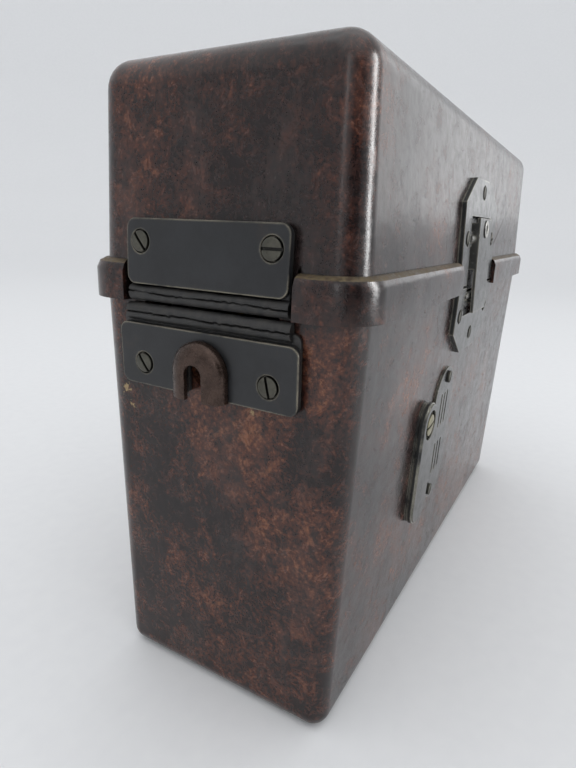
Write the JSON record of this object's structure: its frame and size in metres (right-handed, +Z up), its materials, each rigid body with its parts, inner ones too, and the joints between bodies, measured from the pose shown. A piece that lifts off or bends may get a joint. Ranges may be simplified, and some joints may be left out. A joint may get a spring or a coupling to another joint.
{
  "type": "field telephone",
  "caption": "Portable field telephone in a moulded case: hinged latched lid, wire inlet, strap sockets, crank hole with swinging cover, handset, hand generator, bell and cell.",
  "frame": {"origin": "centre of the box's foot, on the ground", "axes": "+X along the long side to the end without the wire inlet, -Y towards the latch, +Z up"},
  "size_m": [0.2778, 0.1005, 0.205],
  "materials": {
    "phenolic": "mottled brown moulded phenolic, worn semi-gloss",
    "gunmetal": "blued and worn steel",
    "screw_steel": "tarnished steel",
    "bright_steel": "plain steel",
    "spring_steel": "spring steel",
    "old_rubber": "perished black rubber",
    "worn_bronze": "browned bronze casting",
    "brass": "brass",
    "panel_plate": "black stoved enamel",
    "felt": "grey-green felt",
    "cell_wrap": "waxed wrap",
    "box_tin": "grey paint",
    "coil_wrap": "varnished winding",
    "cap_can": "plain can",
    "iron": "iron",
    "magnet_red": "red lacquered magnet steel",
    "armature_metal": "wound laminated iron",
    "black_plastic": "black moulding",
    "red_key": "red button",
    "capsule_metal": "pressed can"
  },
  "bodies": {
    "case": {"case_shell": "phenolic", "lower_clamp_plate": "gunmetal", "lower_rubber_lip": "old_rubber", "strap_lug_left": "worn_bronze", "strap_plate_right": "gunmetal", "strap_lug_right": "worn_bronze", "strap_plate_screws": "screw_steel", "keeper_plate": "gunmetal", "keeper_bar": "bright_steel", "case_screws": "screw_steel", "sound_plate": "gunmetal", "crank_cover_screw": "brass", "case_hinge_leaf": "gunmetal", "hinge_pin": "bright_steel", "inner_panel": "panel_plate", "panel_screws": "bright_steel", "handset_seats": "felt", "battery_cover": "panel_plate", "battery_box": "box_tin", "dry_cell": "cell_wrap", "induction_coil": "coil_wrap", "capacitor": "cap_can", "generator_frame": "iron", "generator_magnets": "magnet_red", "bell_frame": "iron", "bell_coils": "coil_wrap", "left_gong": "brass", "right_gong": "brass", "gong_screws": "brass", "terminal_posts": "brass", "test_key_bush": "bright_steel", "crank_clips": "spring_steel", "crank_arm": "gunmetal"},
    "lid": {"lid_shell": "phenolic", "upper_clamp_plate": "gunmetal", "upper_rubber_lip": "old_rubber", "upper_clamp_screws": "screw_steel", "latch_plate": "gunmetal", "latch_pin": "bright_steel", "latch_plate_screws": "screw_steel", "latch_spring": "spring_steel", "lid_hinge_leaf": "gunmetal", "lid_hinge_screws": "screw_steel"},
    "latch": {"latch_lever": "gunmetal", "latch_eyelet": "bright_steel"},
    "crank_cover": {"crank_cover": "gunmetal"},
    "crank_wheel": {"crank_shaft": "bright_steel"},
    "armature": {"armature": "armature_metal"},
    "clapper": {"clapper": "bright_steel"},
    "test_key": {"test_key": "red_key"},
    "handset": {"handset_body": "black_plastic", "receiver_cap": "black_plastic", "transmitter_cap": "black_plastic", "receiver_capsule": "capsule_metal", "transmitter_capsule": "capsule_metal", "handset_key_pin": "bright_steel"},
    "talk_key": {"handset_key": "black_plastic"},
    "crank_grip": {"crank_grip": "black_plastic"},
    "terminal_nut_a": {"terminal_nut_a": "brass"},
    "terminal_nut_b": {"terminal_nut_b": "brass"}
  },
  "joints": [
    {"name": "lid_hinge", "type": "hinge", "parent": "case", "child": "lid", "pos_m": [0, 0.04815, 0.136], "axis": [-1, 0, 0], "range_deg": [0, 110]},
    {"name": "latch_lever", "type": "hinge", "parent": "lid", "child": "latch", "pos_m": [0, -0.04612, 0.15702], "axis": [-1, 0, 0], "range_deg": [0, 8], "stiffness_Nm_per_rad": 0.5, "springref_deg": -6.88, "deforming": ["latch_spring"]},
    {"name": "crank_cover_swing", "type": "hinge", "parent": "case", "child": "crank_cover", "pos_m": [-0.0535, -0.04664, 0.08696], "axis": [0, 0.9996, 0.0277], "range_deg": [0, 100]},
    {"name": "crank_turn", "type": "hinge", "parent": "case", "child": "crank_wheel", "pos_m": [-0.0535, 0, 0.06], "axis": [0, 1, 0], "continuous": true},
    {"name": "armature_spin", "type": "hinge", "parent": "case", "child": "armature", "pos_m": [-0.0535, 0, 0.03], "axis": [0, 1, 0], "continuous": true},
    {"name": "clapper_rock", "type": "hinge", "parent": "case", "child": "clapper", "pos_m": [0.0225, 0, 0.051], "axis": [0, 1, 0], "range_deg": [-4, 4], "stiffness_Nm_per_rad": 0.02},
    {"name": "test_key_press", "type": "slide", "parent": "case", "child": "test_key", "axis": [0, 0, -1], "range_m": [0, 0.003], "stiffness_N_per_m": 300, "springref_m": -0.003},
    {"name": "handset_lift", "type": "slide", "parent": "case", "child": "handset", "axis": [0, 0, 1], "range_m": [0, 0.012]},
    {"name": "talk_key_press", "type": "hinge", "parent": "handset", "child": "talk_key", "pos_m": [-0.006, 0, 0.1715], "axis": [0, -1, 0], "range_deg": [0, 3.2], "stiffness_Nm_per_rad": 0.8, "springref_deg": -5.73},
    {"name": "crank_grip_turn", "type": "hinge", "parent": "case", "child": "crank_grip", "pos_m": [-0.018, 0, 0.139], "axis": [0, 1, 0], "continuous": true},
    {"name": "terminal_nut_a_turn", "type": "hinge", "parent": "case", "child": "terminal_nut_a", "pos_m": [-0.106, -0.022, 0.1375], "axis": [0, 0, 1], "continuous": true},
    {"name": "terminal_nut_b_turn", "type": "hinge", "parent": "case", "child": "terminal_nut_b", "pos_m": [-0.106, 0.006, 0.1375], "axis": [0, 0, 1], "continuous": true}
  ],
  "couplings": [
    {"joint": "armature_spin", "follows": "crank_turn", "ratio": -4}
  ]
}
